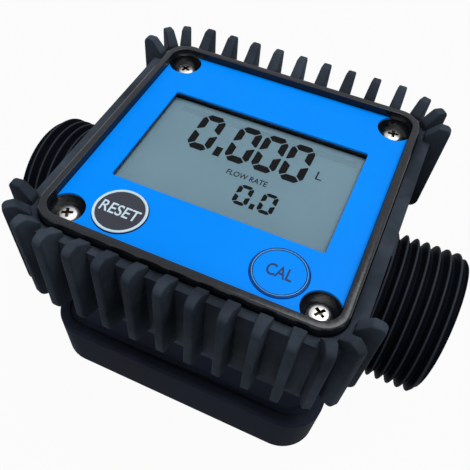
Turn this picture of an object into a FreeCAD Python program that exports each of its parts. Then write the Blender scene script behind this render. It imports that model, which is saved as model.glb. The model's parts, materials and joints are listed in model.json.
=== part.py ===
import FreeCAD, Part
import math
import os

import Sketcher
from FreeCAD import Placement, Rotation, Vector

# Inline turbine flow meter with male G1 pipe threads.
# X runs along the flow, Y to the back, Z up; the origin is under the middle of the base. Lengths in mm.

SIZES = {
    # pipe stubs, ISO 228-1 G1 male thread kept plain at its major diameter
    "overall_length": 101.5,
    "axis_height": 23.0,
    "thread_r": 16.62,
    "thread_chamfer": 1.3,
    "collar_r": 17.0,
    "collar_proud": 0.3,
    "bore_r": 12.5,
    "outlet_bore_r": 11.8,
    "shoulder_x": 17.0,
    "mouth_chamfer": 0.8,
    # broad base with the battery bays
    "base_half_x": 33.9,
    "base_half_y": 33.9,
    "base_corner": 8.3,
    "base_height": 14.0,
    "base_lip": 2.4,
    "base_lip_step": 0.6,
    "base_edge_round": 0.9,
    "base_wall": 1.8,
    "hatch_gap": 0.3,
    "hatch_thick": 2.4,
    "hatch_gasket_thick": 0.8,
    "hatch_rail_half": 14.8,
    "hatch_rail_wide": 0.8,
    "hatch_screw_in": 6.0,
    "hatch_screw_clear": 4.2,
    "hatch_screw_r": 1.25,
    "hatch_screw_depth": 9.0,
    "hatch_head_r": 2.5,
    # battery bays, each for one AAA cell
    "cell_r": 5.25,
    "cell_length": 44.5,
    "cell_in": 11.0,
    "cell_nub_r": 1.9,
    "cell_nub_rise": 0.8,
    "bay_gap": 0.25,
    "contact_room": 1.95,
    "contact_thick": 0.4,
    "contact_half": 4.2,
    "contact_flat": 0.8,
    "contact_bump_r": 1.6,
    # housing above the base, with the electronics tray
    "housing_half_x": 29.6,
    "housing_half_y": 29.6,
    "housing_top": 44.6,
    "housing_wall": 2.5,
    "tray_floor": 39.4,
    "well_clear": 2.5,
    "well_inner": 4.6,
    "well_outer": 1.7,
    "well_corner": 1.0,
    "well_bottom": 17.2,
    "screw_in": 4.0,
    "screw_r": 1.5,
    "screw_depth": 11.0,
    "boss_wall": 1.8,
    # top cover
    "gasket_thick": 0.8,
    "gasket_width": 1.9,
    "cover_over": 1.05,
    "cover_corner": 5.1,
    "rim_top": 51.6,
    "rim_edge_round": 0.5,
    "rim_width": 1.8,
    "label_top": 50.0,
    "label_thick": 0.4,
    "label_gap": 0.1,
    "cover_thick": 2.8,
    "pit_r": 3.7,
    "pit_floor": 47.1,
    "head_r": 2.25,
    "head_height": 1.6,
    "head_round": 0.95,
    # display window
    "window_in_x": 6.35,
    "window_in_y": 14.2,
    "window_y": 0.6,
    "window_corner": 0.6,
    "lens_gap": 0.1,
    "lens_sink": 0.2,
    "lens_flange": 1.2,
    "lens_flange_thick": 0.6,
    "lens_web": 0.6,
    "glass_thick": 2.4,
    "strip_half": 0.95,
    # keys
    "reset_in_x": 12.95,
    "reset_in_y": 6.95,
    "reset_r": 5.4,
    "cal_in_x": 12.35,
    "cal_in_y": 7.1,
    "cal_r": 5.45,
    "key_gap": 0.15,
    "key_well_gap": 0.2,
    "key_proud": 0.25,
    "key_thick": 0.8,
    "key_travel": 0.35,
    "stem_r": 1.7,
    "stem_gap": 0.35,
    # circuit board
    "board_top": 42.0,
    "board_thick": 1.6,
    "board_gap": 0.9,
    "board_screw_in_x": 4.2,
    "board_screw_in_y": 7.3,
    "board_screw_r": 0.8,
    "board_screw_bite": 3.2,
    "board_head_r": 1.6,
    "standoff_r": 2.0,
    "chip_in_y": 4.2,
    "chip_half_x": 4.8,
    "chip_half_y": 1.8,
    "switch_half": 3.0,
    "switch_height": 3.4,
    "plunger_sink": 0.8,
    "sensor_length": 4.0,
    "sensor_width": 3.0,
    "sensor_floor": 37.4,
    # turbine
    "cage_gap": 0.1,
    "sleeve_thick": 0.9,
    "sleeve_over": 2.0,
    "rotor_half": 7.0,
    "rotor_tip_gap": 0.5,
    "hub_r": 4.5,
    "hub_round": 1.0,
    "blade_thick": 0.9,
    "blade_half": 6.0,
    "blade_lead": 65.0,
    "blade_count": 6.0,
    "thrust_gap": 0.2,
    "bush_r": 2.2,
    "bush_length": 3.2,
    "bush_proud": 0.4,
    "shaft_r": 1.0,
    "shaft_gap": 0.04,
    "vane_thick": 1.0,
    "vane_length": 7.0,
    "vane_count": 5.0,
    "nose_length": 4.0,
    "magnet_r": 1.3,
    "magnet_length": 2.6,
    "magnet_count": 2.0,
    "strainer_thick": 1.2,
    "strainer_pitch": 3.0,
    "strainer_bar": 0.8,
    "clip_thick": 1.2,
    "clip_groove": 0.7,
    "clip_width": 1.9,
    "ear_half_x": 3.8,
    "ear_half_y": 1.9,
    "ear_hole_x": 2.4,
    "ear_hole_r": 0.65,
    # rubber guard
    "guard_ledge_x": 2.95,
    "guard_ledge_y": 2.2,
    "guard_corner": 6.6,
    "guard_top": 49.5,
    "guard_bottom": 30.0,
    "skirt_step_x": 2.0,
    "skirt_step_y": 1.2,
    "skirt_bottom": 26.2,
    "guard_gap": 0.3,
    "fin_root": 4.9,
    "fin_root_half": 1.3,
    "fin_end_half": 0.75,
    "fin_root_top": 50.7,
    "fin_top": 53.4,
    "fin_crown": 2.6,
    "fin_tip_round": 1.3,
    "fin_foot_round": 2.0,
    "fin_margin": 1.0,
    "row_pitch": 5.94,
    "row_count": 9.0,
    "row_reach": 10.9,
    "row_flare": 0.8,
    "row_bottom": 33.0,
    "fan_reach": 9.7,
    "fan_flare": 0.2,
    "fan_bottom": 30.3,
    "fan_first": 17.0,
    "fan_second": 49.0,
    "fan_third": 88.0,
}

# sizes that follow others, so that the pieces stay together when one of them changes
LINKS = {
    "screw_x": lambda s: s.housing_half_x - s.screw_in,
    "screw_y": lambda s: s.housing_half_y - s.screw_in,
    "cover_half_x": lambda s: s.housing_half_x + s.cover_over,
    "cover_half_y": lambda s: s.housing_half_y + s.cover_over,
    "label_half_x": lambda s: s.cover_half_x - s.rim_width,
    "label_half_y": lambda s: s.cover_half_y - s.rim_width,
    "window_half_x": lambda s: s.label_half_x - s.window_in_x,
    "window_half_y": lambda s: s.label_half_y - s.window_in_y,
    "reset_x": lambda s: s.reset_in_x - s.label_half_x,
    "reset_y": lambda s: s.reset_in_y - s.label_half_y,
    "cal_x": lambda s: s.label_half_x - s.cal_in_x,
    "cal_y": lambda s: s.cal_in_y - s.label_half_y,
    "board_half_x": lambda s: s.housing_half_x - s.housing_wall - s.board_gap,
    "board_half_y": lambda s: s.housing_half_y - s.housing_wall - s.board_gap,
    "board_screw_x": lambda s: s.board_half_x - s.board_screw_in_x,
    "board_screw_y": lambda s: s.board_half_y - s.board_screw_in_y,
    "chip_y": lambda s: s.board_half_y - s.chip_in_y,
    "well_half_x": lambda s: s.board_screw_x - s.well_clear,
    "cell_y": lambda s: s.base_half_y - s.cell_in,
    "bay_half_x": lambda s: s.cell_length / 2 + s.contact_room,
    "hatch_screw_x": lambda s: s.base_half_x - s.hatch_screw_in,
    "hatch_screw_y": lambda s: s.cell_y - s.cell_r - s.bay_gap - s.hatch_screw_clear,
    "guard_half_x": lambda s: s.cover_half_x + s.guard_ledge_x,
    "guard_half_y": lambda s: s.cover_half_y + s.guard_ledge_y,
    "skirt_half_x": lambda s: s.guard_half_x - s.skirt_step_x,
    "skirt_half_y": lambda s: s.guard_half_y - s.skirt_step_y,
    "collar_half": lambda s: s.guard_half_x + s.collar_proud,
}


class Size:
    """A length that carries its value and the sheet formula that gives it."""

    def __init__(self, value, text=None):
        self.value = float(value)
        self.text = text or repr(float(value))

    def __add__(self, other):
        other = as_size(other)
        return Size(self.value + other.value, f"({self.text} + {other.text})")

    def __sub__(self, other):
        other = as_size(other)
        return Size(self.value - other.value, f"({self.text} - {other.text})")

    def __mul__(self, factor):
        return Size(self.value * factor, f"({self.text} * {factor})")

    def __truediv__(self, factor):
        return Size(self.value / factor, f"({self.text} / {factor})")

    def __neg__(self):
        return self * -1


class Sheet:
    """The driving dimensions and the ones that follow them, each read as an attribute."""

    def __getattr__(self, name):
        if name in LINKS:
            return LINKS[name](self)
        return Size(SIZES[name], f"Sizes.{name}")


def as_size(length):
    return length if isinstance(length, Size) else Size(length)


S = Sheet()
DOC = FreeCAD.newDocument("flow_meter")
VOLUMES = {}
LEAST_CHANGE = 1e-6


def fill_sheet():
    sheet = DOC.addObject("Spreadsheet::Sheet", "Sizes")
    for row, (name, value) in enumerate(SIZES.items(), 1):
        sheet.set(f"A{row}", name)
        sheet.set(f"B{row}", str(value))
        sheet.setAlias(f"B{row}", name)
    DOC.recompute()


def new_body(label, height=None):
    """A named body; height lifts it to its own axis."""
    body = DOC.addObject("PartDesign::Body", label)
    body.Label = label
    body.AllowCompound = True
    if height is not None:
        body.setExpression("Placement.Base.z", height.text)
    return body


def origin_feature(body, role):
    return next(item for item in body.Origin.OriginFeatures if item.Role == role)


def sketch(body, plane="XY", at=(0, 0, 0), turn=None):
    """A sketch on an origin plane; at is its offset in the plane's own directions."""
    drawing = body.newObject("Sketcher::SketchObject", f"{body.Label}_sketch")
    drawing.AttachmentSupport = [(origin_feature(body, f"{plane}_Plane"), "")]
    drawing.MapMode = "FlatFace"
    if turn is not None:
        axis, angle = turn
        drawing.AttachmentOffset = Placement(Vector(), Rotation(axis, angle.value))
        drawing.setExpression(".AttachmentOffset.Rotation.Angle", angle.text)
    for axis, length in zip("xyz", at):
        drawing.setExpression(f".AttachmentOffset.Base.{axis}", as_size(length).text)
    return drawing


def hold(drawing, kind, *where, length):
    """Add a constraint whose value comes from the sheet."""
    row = drawing.addConstraint(Sketcher.Constraint(kind, *where, length.value))
    drawing.setExpression(f"Constraints[{row}]", length.text)


def pin(drawing, item, vertex, x, y):
    hold(drawing, "DistanceX", -1, 1, item, vertex, length=as_size(x))
    hold(drawing, "DistanceY", -1, 1, item, vertex, length=as_size(y))


def circle(drawing, x, y, radius):
    x, y, radius = as_size(x), as_size(y), as_size(radius)
    shape = Part.Circle(Vector(x.value, y.value, 0), Vector(0, 0, 1), radius.value)
    item = drawing.addGeometry(shape)
    pin(drawing, item, 3, x, y)
    hold(drawing, "Radius", item, length=radius)


def corner_arc(before, point, after, radius):
    """Tangent points, centre and turn of an arc that rounds one corner."""
    into = (before - point).normalize()
    away = (after - point).normalize()
    half = into.getAngle(away) / 2
    reach = radius / math.tan(half)
    centre = point + (into + away).normalize() * (radius / math.sin(half))
    turns_left = into.cross(away).z < 0
    return point + into * reach, point + away * reach, centre, turns_left


def outline(drawing, corners):
    """A closed outline of (x, y) or (x, y, radius) corners, rounded where a radius is given."""
    corners = [tuple(as_size(part) for part in corner) for corner in corners]
    points = [Vector(corner[0].value, corner[1].value, 0) for corner in corners]
    count = len(corners)
    starts, ends, arcs = [], [], []
    for index, corner in enumerate(corners):
        if len(corner) == 2:
            starts.append(points[index])
            ends.append(points[index])
            arcs.append(None)
            continue
        first, last, centre, left = corner_arc(
            points[index - 1], points[index], points[(index + 1) % count], corner[2].value
        )
        ends.append(first)
        starts.append(last)
        angles = [math.atan2(end.y - centre.y, end.x - centre.x) for end in (first, last)]
        if not left:
            angles.reverse()
        ring = Part.Circle(centre, Vector(0, 0, 1), corner[2].value)
        arcs.append((drawing.addGeometry(Part.ArcOfCircle(ring, *angles)), left))
    lines = [
        drawing.addGeometry(Part.LineSegment(starts[index], ends[(index + 1) % count]))
        for index in range(count)
    ]
    for index, corner in enumerate(corners):
        arriving, leaving = lines[index - 1], lines[index]
        if arcs[index] is None:
            drawing.addConstraint(Sketcher.Constraint("Coincident", arriving, 2, leaving, 1))
            pin(drawing, leaving, 1, corner[0], corner[1])
            continue
        arc, left = arcs[index]
        mark = drawing.addGeometry(Part.Point(points[index]), True)
        pin(drawing, mark, 1, corner[0], corner[1])
        drawing.addConstraint(Sketcher.Constraint("PointOnObject", mark, 1, arriving))
        drawing.addConstraint(Sketcher.Constraint("PointOnObject", mark, 1, leaving))
        near, far = (1, 2) if left else (2, 1)
        drawing.addConstraint(Sketcher.Constraint("Tangent", arriving, 2, arc, near))
        drawing.addConstraint(Sketcher.Constraint("Tangent", arc, far, leaving, 1))
        hold(drawing, "Radius", arc, length=corner[2])


def rectangle(drawing, half_x, half_y, radius=None, x=0, y=0):
    x, y = as_size(x), as_size(y)
    rest = () if radius is None else (radius,)
    signs = ((-1, -1), (1, -1), (1, 1), (-1, 1))
    outline(drawing, [(x + half_x * i, y + half_y * j, *rest) for i, j in signs])


def four_circles(drawing, x, y, radius):
    for i, j in ((-1, -1), (1, -1), (1, 1), (-1, 1)):
        circle(drawing, x * i, y * j, radius)


def checked(body, item, grows):
    """Recompute, and stop if a feature failed, or added or cut nothing."""
    DOC.recompute()
    volume = body.Shape.Volume
    change = volume - VOLUMES.get(body.Name, 0)
    if "Invalid" in item.State or abs(change) < LEAST_CHANGE or (change > 0) != grows:
        raise RuntimeError(f"{item.Label} of {body.Label} failed: change {change}, state {item.State}")
    VOLUMES[body.Name] = volume
    return item


def feature(body, kind, drawing, grows, **values):
    item = body.newObject(f"PartDesign::{kind}", f"{body.Label}_{kind.lower()}")
    item.Profile = drawing
    give(item, values)
    return checked(body, item, grows)


def pad(body, drawing, length, **values):
    return feature(body, "Pad", drawing, True, Length=as_size(length), **values)


def pocket(body, drawing, depth=None, **values):
    """A cut against the sketch's normal, or right through where no depth is given."""
    if depth is None:
        return feature(body, "Pocket", drawing, False, Type="ThroughAll", **values)
    return feature(body, "Pocket", drawing, False, Length=as_size(depth), **values)


def revolve(body, drawing, axis="H_Axis", cut=False):
    kind = "Groove" if cut else "Revolution"
    return feature(body, kind, drawing, not cut, ReferenceAxis=(drawing, [axis]), Angle=360.0)


def give(item, values):
    for name, value in values.items():
        if isinstance(value, Size):
            item.setExpression(name, value.text)
        else:
            setattr(item, name, value)


def repeated(body, originals, grows, *steps):
    """Repeat features by one or more steps, each a kind of pattern and its values."""
    whole = body.newObject("PartDesign::MultiTransform", f"{body.Label}_pattern")
    whole.Originals = originals
    parts = []
    for kind, values in steps:
        step = body.newObject(f"PartDesign::{kind}", f"{body.Label}_{kind.lower()}")
        give(step, values)
        parts.append(step)
    whole.Transformations = parts
    body.Tip = whole
    return checked(body, whole, grows)


def mirror_step(body, plane):
    return "Mirrored", {"MirrorPlane": (origin_feature(body, f"{plane}_Plane"), [""])}


def mirrored(body, item, grows=True):
    """Repeat a feature at the three other corners."""
    return repeated(body, [item], grows, mirror_step(body, "XZ"), mirror_step(body, "YZ"))


def polar(body, item, count, grows=True):
    """Repeat a feature round the body's own X axis."""
    values = {
        "Axis": (origin_feature(body, "X_Axis"), [""]),
        "Angle": 360.0,
        "Occurrences": as_size(count),
    }
    return repeated(body, [item], grows, ("PolarPattern", values))


def edges_where(body, test):
    """Names of the edges of a body's shape that pass a test."""
    edges = enumerate(body.Shape.Edges, 1)
    return [f"Edge{number}" for number, edge in edges if test(edge)]


def rounded_edges(body, base, radius, test):
    item = body.newObject("PartDesign::Fillet", f"{body.Label}_fillet")
    item.Base = (base, edges_where(body, test))
    item.setExpression("Radius", radius.text)
    return checked(body, item, False)


def lies_at(edge, height):
    box = edge.BoundBox
    return abs(box.ZMin - height) < 1e-4 and abs(box.ZMax - height) < 1e-4


def meter_body():
    """Duct, stubs, tray and battery base in one moulding."""
    body = new_body("meter_body")
    base = sketch(body)
    rectangle(base, S.base_half_x, S.base_half_y, S.base_corner)
    slab = pad(body, base, S.base_height)
    top = S.base_height.value
    rounded_edges(body, slab, S.base_edge_round, lambda edge: lies_at(edge, top))
    step = sketch(body, at=(0, 0, S.base_height))
    lip = S.base_lip
    rectangle(step, S.base_half_x - lip, S.base_half_y - lip, S.base_corner - lip)
    pocket(body, step, S.base_lip_step)
    housing = sketch(body, at=(0, 0, S.base_height - S.base_lip_step))
    rectangle(housing, S.housing_half_x, S.housing_half_y, housing_corner())
    pad(body, housing, S.housing_top - S.base_height + S.base_lip_step)
    duct(body)
    tray(body)
    battery_bays(body)
    bore(body)
    return body


def housing_corner():
    """The housing's corners are concentric with the cover screws."""
    return S.housing_half_x - S.screw_x


def duct(body):
    end = S.overall_length / 2
    bar = sketch(body, "XZ", at=(0, S.axis_height, 0))
    half = [
        (end, S.thread_r - S.thread_chamfer),
        (end - S.thread_chamfer, S.thread_r),
        (S.collar_half, S.thread_r),
        (S.collar_half, S.collar_r),
    ]
    corners = [(end, 0), *half, *((-x, r) for x, r in reversed(half)), (-end, 0)]
    outline(bar, corners)
    revolve(body, bar)


def bore(body):
    end = S.overall_length / 2
    clip_back = -(S.shoulder_x + S.strainer_thick)
    clip_front = clip_back - S.clip_thick
    groove_r = S.bore_r + S.clip_groove
    chamfer = S.mouth_chamfer
    hollow = sketch(body, "XZ", at=(0, S.axis_height, 0))
    outline(
        hollow,
        [
            (-end, 0),
            (end, 0),
            (end, S.outlet_bore_r + chamfer),
            (end - chamfer, S.outlet_bore_r),
            (S.shoulder_x, S.outlet_bore_r),
            (S.shoulder_x, S.bore_r),
            (clip_back, S.bore_r),
            (clip_back, groove_r),
            (clip_front, groove_r),
            (clip_front, S.bore_r),
            (chamfer - end, S.bore_r),
            (-end, S.bore_r + chamfer),
        ],
    )
    revolve(body, hollow, cut=True)


def tray(body):
    wall = S.housing_wall
    deep = S.housing_top - S.tray_floor
    inside = sketch(body, at=(0, 0, S.housing_top))
    rectangle(inside, S.housing_half_x - wall, S.housing_half_y - wall, housing_corner() - wall)
    pocket(body, inside, deep)
    posts = sketch(body, at=(0, 0, S.tray_floor))
    four_circles(posts, S.screw_x, S.screw_y, S.screw_r + S.boss_wall)
    pad(body, posts, deep)
    standoffs = sketch(body, at=(0, 0, S.tray_floor))
    four_circles(standoffs, S.board_screw_x, S.board_screw_y, S.standoff_r)
    pad(body, standoffs, S.board_top - S.board_thick - S.tray_floor)
    wells = sketch(body, at=(0, 0, S.tray_floor))
    near = S.bore_r + S.well_inner
    far = S.housing_half_y - wall - S.well_outer
    for side in (-1, 1):
        rectangle(wells, S.well_half_x, (far - near) / 2, S.well_corner, 0, (far + near) * (side / 2))
    pocket(body, wells, S.tray_floor - S.well_bottom)
    pit = sketch(body, at=(0, 0, S.tray_floor))
    rectangle(pit, S.sensor_length / 2 + S.bay_gap, S.sensor_width / 2 + S.bay_gap)
    pocket(body, pit, S.tray_floor - S.sensor_floor)
    holes = sketch(body, at=(0, 0, S.housing_top))
    four_circles(holes, S.screw_x, S.screw_y, S.screw_r)
    pocket(body, holes, S.screw_depth)
    board_holes = sketch(body, at=(0, 0, S.board_top - S.board_thick))
    four_circles(board_holes, S.board_screw_x, S.board_screw_y, S.board_screw_r)
    pocket(body, board_holes, S.board_screw_bite)


def recess_depth():
    return S.hatch_thick + S.hatch_gasket_thick


def battery_bays(body):
    """Recess for the battery cover, bays and screw holes, all open at the bottom."""
    wall = S.base_wall
    recess = sketch(body)
    rectangle(recess, S.base_half_x - wall, S.base_half_y - wall, S.base_corner - wall)
    pocket(body, recess, recess_depth(), Reversed=True)
    bays = sketch(body, at=(0, 0, recess_depth()))
    for side in (-1, 1):
        rectangle(bays, S.bay_half_x, S.cell_r + S.bay_gap, x=0, y=S.cell_y * side)
    pocket(body, bays, S.cell_r * 2 + S.bay_gap * 2, Reversed=True)
    holes = sketch(body, at=(0, 0, recess_depth()))
    four_circles(holes, S.hatch_screw_x, S.hatch_screw_y, S.hatch_screw_r)
    pocket(body, holes, S.hatch_screw_depth, Reversed=True)


def battery_cover():
    body = new_body("battery_cover")
    inset = S.base_wall + S.hatch_gap
    plate = sketch(body)
    rectangle(plate, S.base_half_x - inset, S.base_half_y - inset, S.base_corner - inset)
    pad(body, plate, S.hatch_thick)
    rails = sketch(body, at=(0, 0, S.hatch_thick))
    for side in (-1, 1):
        rectangle(rails, S.hatch_rail_half, S.hatch_rail_wide, x=0, y=S.cell_y * side)
    pad(body, rails, S.hatch_gasket_thick)
    heads = sketch(body, "XZ", at=(S.hatch_screw_x, 0, -S.hatch_screw_y))
    outline(heads, screw_hole_profile())
    sink = revolve(body, heads, "V_Axis", cut=True)
    mirrored(body, sink, False)
    return body


def screw_hole_profile():
    """Countersunk clearance hole, from its axis outwards."""
    bore_size = S.hatch_screw_r + S.hatch_gap / 2
    head = S.hatch_head_r
    cone = head - bore_size
    return [(0, 0), (head, 0), (bore_size, cone), (bore_size, S.hatch_thick), (0, S.hatch_thick)]


def battery_cover_screws():
    body = new_body("battery_cover_screws")
    shank = S.hatch_screw_r
    head = S.hatch_head_r - S.hatch_gap / 2
    sunk = S.contact_thick / 2
    tip = recess_depth() + S.hatch_screw_depth - S.hatch_gap
    drawing = sketch(body, "XZ", at=(S.hatch_screw_x, 0, -S.hatch_screw_y))
    outline(
        drawing,
        [
            (0, sunk),
            (head - sunk, sunk),
            (shank, sunk + head - sunk - shank),
            (shank, tip - shank),
            (0, tip),
        ],
    )
    screw = revolve(body, drawing, "V_Axis")
    mirrored(body, screw)
    return body


def battery_gasket():
    """Flat seal between the battery cover and the body, open at the bays."""
    body = new_body("battery_gasket")
    inset = S.base_wall + S.hatch_gap
    sheet = sketch(body, at=(0, 0, S.hatch_thick))
    rectangle(sheet, S.base_half_x - inset, S.base_half_y - inset, S.base_corner - inset)
    pad(body, sheet, S.hatch_gasket_thick)
    openings = sketch(body, at=(0, 0, recess_depth()))
    for side in (-1, 1):
        rectangle(openings, S.bay_half_x, S.cell_r + S.bay_gap, x=0, y=S.cell_y * side)
    pocket(body, openings)
    holes = sketch(body, at=(0, 0, recess_depth()))
    four_circles(holes, S.hatch_screw_x, S.hatch_screw_y, S.hatch_screw_r + S.hatch_gap / 2)
    pocket(body, holes)
    return body


def cell_height():
    return recess_depth() + S.cell_r + S.bay_gap


def battery(label, side):
    """AAA cell; the two lie head to tail, so side also turns the raised positive end."""
    body = new_body(label, cell_height())
    body.setExpression("Placement.Base.y", (S.cell_y * side).text)
    tail, head = S.cell_length / 2 * side, S.cell_length / 2 * -side
    nub = S.cell_nub_rise * side
    nub_r = S.cell_nub_r
    drawing = sketch(body, "XZ")
    case = [(head + nub, nub_r), (head + nub, S.cell_r), (tail, S.cell_r)]
    outline(drawing, [(tail, 0), (head, 0), (head, nub_r), *case])
    revolve(body, drawing)
    return body


def plate_contacts():
    """A plate with a round bump at each cell's positive end."""
    body = new_body("plate_contacts", cell_height())
    for side in (-1, 1):
        wall = S.bay_half_x * -side
        plate = sketch(body, "YZ", at=(S.cell_y * side, 0, wall))
        rectangle(plate, S.contact_half, S.contact_half)
        pad(body, plate, S.contact_thick, Reversed=side < 0)
        bump = sketch(body, "YZ", at=(S.cell_y * side, 0, wall))
        circle(bump, 0, 0, S.contact_bump_r)
        pad(body, bump, contact_reach(), Reversed=side < 0)
    return body


def spring_contacts():
    """A bent leaf at each cell's negative end."""
    body = new_body("spring_contacts", cell_height())
    high = S.contact_half
    flat = S.contact_flat
    thick = S.contact_thick
    for side in (-1, 1):
        wall = S.bay_half_x * side
        crest = (S.bay_half_x - contact_reach()) * side
        step = thick * side
        leaf = sketch(body, "XZ", at=(0, 0, S.cell_y * -side))
        outline(
            leaf,
            [
                (wall, -high),
                (wall - step, -high),
                (crest, -flat),
                (crest, flat),
                (wall - step, high),
                (wall, high),
                (wall, high - thick * 2),
                (crest + step, flat),
                (crest + step, -flat),
                (wall, thick * 2 - high),
            ],
        )
        pad(body, leaf, S.cell_r, Midplane=True)
    return body


def contact_reach():
    """From the bay's end wall to the cell that the contact presses."""
    return S.bay_half_x - S.cell_length / 2


def top_cover():
    body = new_body("top_cover")
    skirt = cover_seat()
    blank = sketch(body, at=(0, 0, skirt))
    rectangle(blank, S.cover_half_x, S.cover_half_y, S.cover_corner)
    slab = pad(body, blank, S.rim_top - skirt)
    top = S.rim_top.value
    rounded_edges(body, slab, S.rim_edge_round, lambda edge: lies_at(edge, top))
    cover_face(body)
    cover_underside(body)
    return body


def cover_seat():
    return S.housing_top + S.gasket_thick


def label_seat():
    return S.label_top - S.label_thick


def pan_roof():
    return label_seat() - S.cover_thick


def cover_face(body):
    gap = S.label_gap
    seat = sketch(body, at=(0, 0, S.rim_top))
    rectangle(seat, S.label_half_x + gap, S.label_half_y + gap, S.pit_r - gap)
    pocket(body, seat, S.rim_top - label_seat())
    pits = sketch(body, at=(0, 0, label_seat()))
    four_circles(pits, S.screw_x, S.screw_y, S.pit_r)
    pocket(body, pits, label_seat() - S.pit_floor)
    window = sketch(body, at=(0, 0, label_seat()))
    rectangle(window, S.window_half_x, S.window_half_y, S.window_corner, 0, S.window_y)
    pocket(body, window)
    wells = sketch(body, at=(0, 0, label_seat()))
    circle(wells, S.reset_x, S.reset_y, S.reset_r + S.key_well_gap)
    circle(wells, S.cal_x, S.cal_y, S.cal_r + S.key_well_gap)
    pocket(body, wells, key_room())


def key_room():
    """Depth of the cover's wells under the keys: the key, its travel and a gap."""
    return S.key_thick - S.label_thick - S.key_proud + S.key_travel + S.stem_gap


def cover_underside(body):
    """The shallow pan under the cover, its screw bosses and its through holes."""
    skirt = cover_seat()
    wall = S.housing_wall
    pan = sketch(body, at=(0, 0, skirt))
    rectangle(pan, S.housing_half_x - wall, S.housing_half_y - wall, housing_corner() - wall)
    pocket(body, pan, pan_roof() - skirt, Reversed=True)
    seat = sketch(body, at=(0, 0, pan_roof()))
    wide = S.lens_flange + S.lens_gap
    rectangle(seat, S.window_half_x + wide, S.window_half_y + wide, x=0, y=S.window_y)
    pocket(body, seat, lens_roof() - pan_roof(), Reversed=True)
    bosses = sketch(body, at=(0, 0, skirt))
    four_circles(bosses, S.screw_x, S.screw_y, S.screw_r + S.boss_wall)
    pad(body, bosses, S.pit_floor - skirt)
    holes = sketch(body, at=(0, 0, S.rim_top))
    four_circles(holes, S.screw_x, S.screw_y, S.screw_r + S.label_gap)
    circle(holes, S.reset_x, S.reset_y, S.stem_r + S.stem_gap)
    circle(holes, S.cal_x, S.cal_y, S.stem_r + S.stem_gap)
    pocket(body, holes)


def cover_gasket():
    body = new_body("cover_gasket")
    inset = S.guard_gap
    wide = S.gasket_width
    ring = sketch(body, at=(0, 0, S.housing_top))
    outer_x = S.housing_half_x - inset
    outer_y = S.housing_half_y - inset
    corner = housing_corner() - inset
    rectangle(ring, outer_x, outer_y, corner)
    rectangle(ring, outer_x - wide, outer_y - wide, corner - wide)
    pad(body, ring, S.gasket_thick)
    return body


def cover_screws():
    """Pan head screws in the cover's pits."""
    body = new_body("cover_screws")
    crown = S.pit_floor + S.head_height
    tip = S.housing_top - S.screw_depth + S.stem_gap
    drawing = sketch(body, "XZ", at=(S.screw_x, 0, -S.screw_y))
    outline(
        drawing,
        [
            (0, tip),
            (S.screw_r, tip + S.screw_r),
            (S.screw_r, S.pit_floor),
            (S.head_r, S.pit_floor),
            (S.head_r, crown, S.head_round),
            (0, crown),
        ],
    )
    screw = revolve(body, drawing, "V_Axis")
    mirrored(body, screw)
    return body


def face_label():
    body = new_body("face_label")
    sheet = sketch(body, at=(0, 0, label_seat()))
    rectangle(sheet, S.label_half_x, S.label_half_y, S.pit_r - S.label_gap * 2)
    pad(body, sheet, S.label_thick)
    cuts = sketch(body, at=(0, 0, S.label_top))
    rectangle(cuts, S.window_half_x, S.window_half_y, S.window_corner, 0, S.window_y)
    circle(cuts, S.reset_x, S.reset_y, S.reset_r + S.key_gap)
    circle(cuts, S.cal_x, S.cal_y, S.cal_r + S.key_gap)
    pocket(body, cuts)
    corners = sketch(body, at=(0, 0, S.label_top))
    four_circles(corners, S.screw_x, S.screw_y, S.pit_r + S.label_gap)
    pocket(body, corners)
    return body


def lens_roof():
    """The window's flange bears on the thin web that the cover keeps round the opening."""
    return label_seat() - S.lens_web


def lens_base():
    return lens_roof() - S.lens_flange_thick


def lcd_window():
    """Clear window: its flange bears on the cover from below, its face stands in the opening."""
    body = new_body("lcd_window")
    gap = S.lens_gap
    face = sketch(body, at=(0, 0, lens_base()))
    rectangle(
        face, S.window_half_x - gap, S.window_half_y - gap, S.window_corner - gap, 0, S.window_y
    )
    pad(body, face, S.label_top - S.lens_sink - lens_base())
    flange = sketch(body, at=(0, 0, lens_base()))
    wide = S.lens_flange
    rectangle(flange, S.window_half_x + wide, S.window_half_y + wide, S.window_corner, 0, S.window_y)
    pad(body, flange, S.lens_flange_thick)
    return body


def glass_base():
    return lens_base() - S.glass_thick


def lcd_display():
    """Display glass: two panes, the lower one wider where its contacts are."""
    body = new_body("lcd_display")
    pane = S.glass_thick / 2
    half_x = S.window_half_x + S.lens_flange / 2
    lower = sketch(body, at=(0, 0, glass_base()))
    rectangle(lower, half_x, S.window_half_y + S.lens_flange, x=0, y=S.window_y)
    pad(body, lower, pane)
    upper = sketch(body, at=(0, 0, glass_base() + pane))
    rectangle(upper, half_x, S.window_half_y, x=0, y=S.window_y)
    pad(body, upper, pane)
    return body


def lcd_connectors():
    """Elastomer strips between the board and the edges of the display glass."""
    body = new_body("lcd_connectors")
    strips = sketch(body, at=(0, 0, S.board_top))
    half_x = S.window_half_x - S.lens_flange
    for side in (-1, 1):
        rectangle(strips, half_x, S.strip_half, x=0, y=S.window_y + S.window_half_y * side)
    pad(body, strips, glass_base() - S.board_top)
    return body


def circuit_board():
    body = new_body("circuit_board")
    plate = sketch(body, at=(0, 0, S.board_top - S.board_thick))
    rectangle(plate, S.board_half_x, S.board_half_y)
    pad(body, plate, S.board_thick)
    cuts = sketch(body, at=(0, 0, S.board_top))
    four_circles(cuts, S.screw_x, S.screw_y, S.screw_r + S.boss_wall + S.stem_gap)
    pocket(body, cuts)
    holes = sketch(body, at=(0, 0, S.board_top))
    four_circles(holes, S.board_screw_x, S.board_screw_y, S.board_screw_r + S.label_gap)
    pocket(body, holes)
    return body


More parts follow.
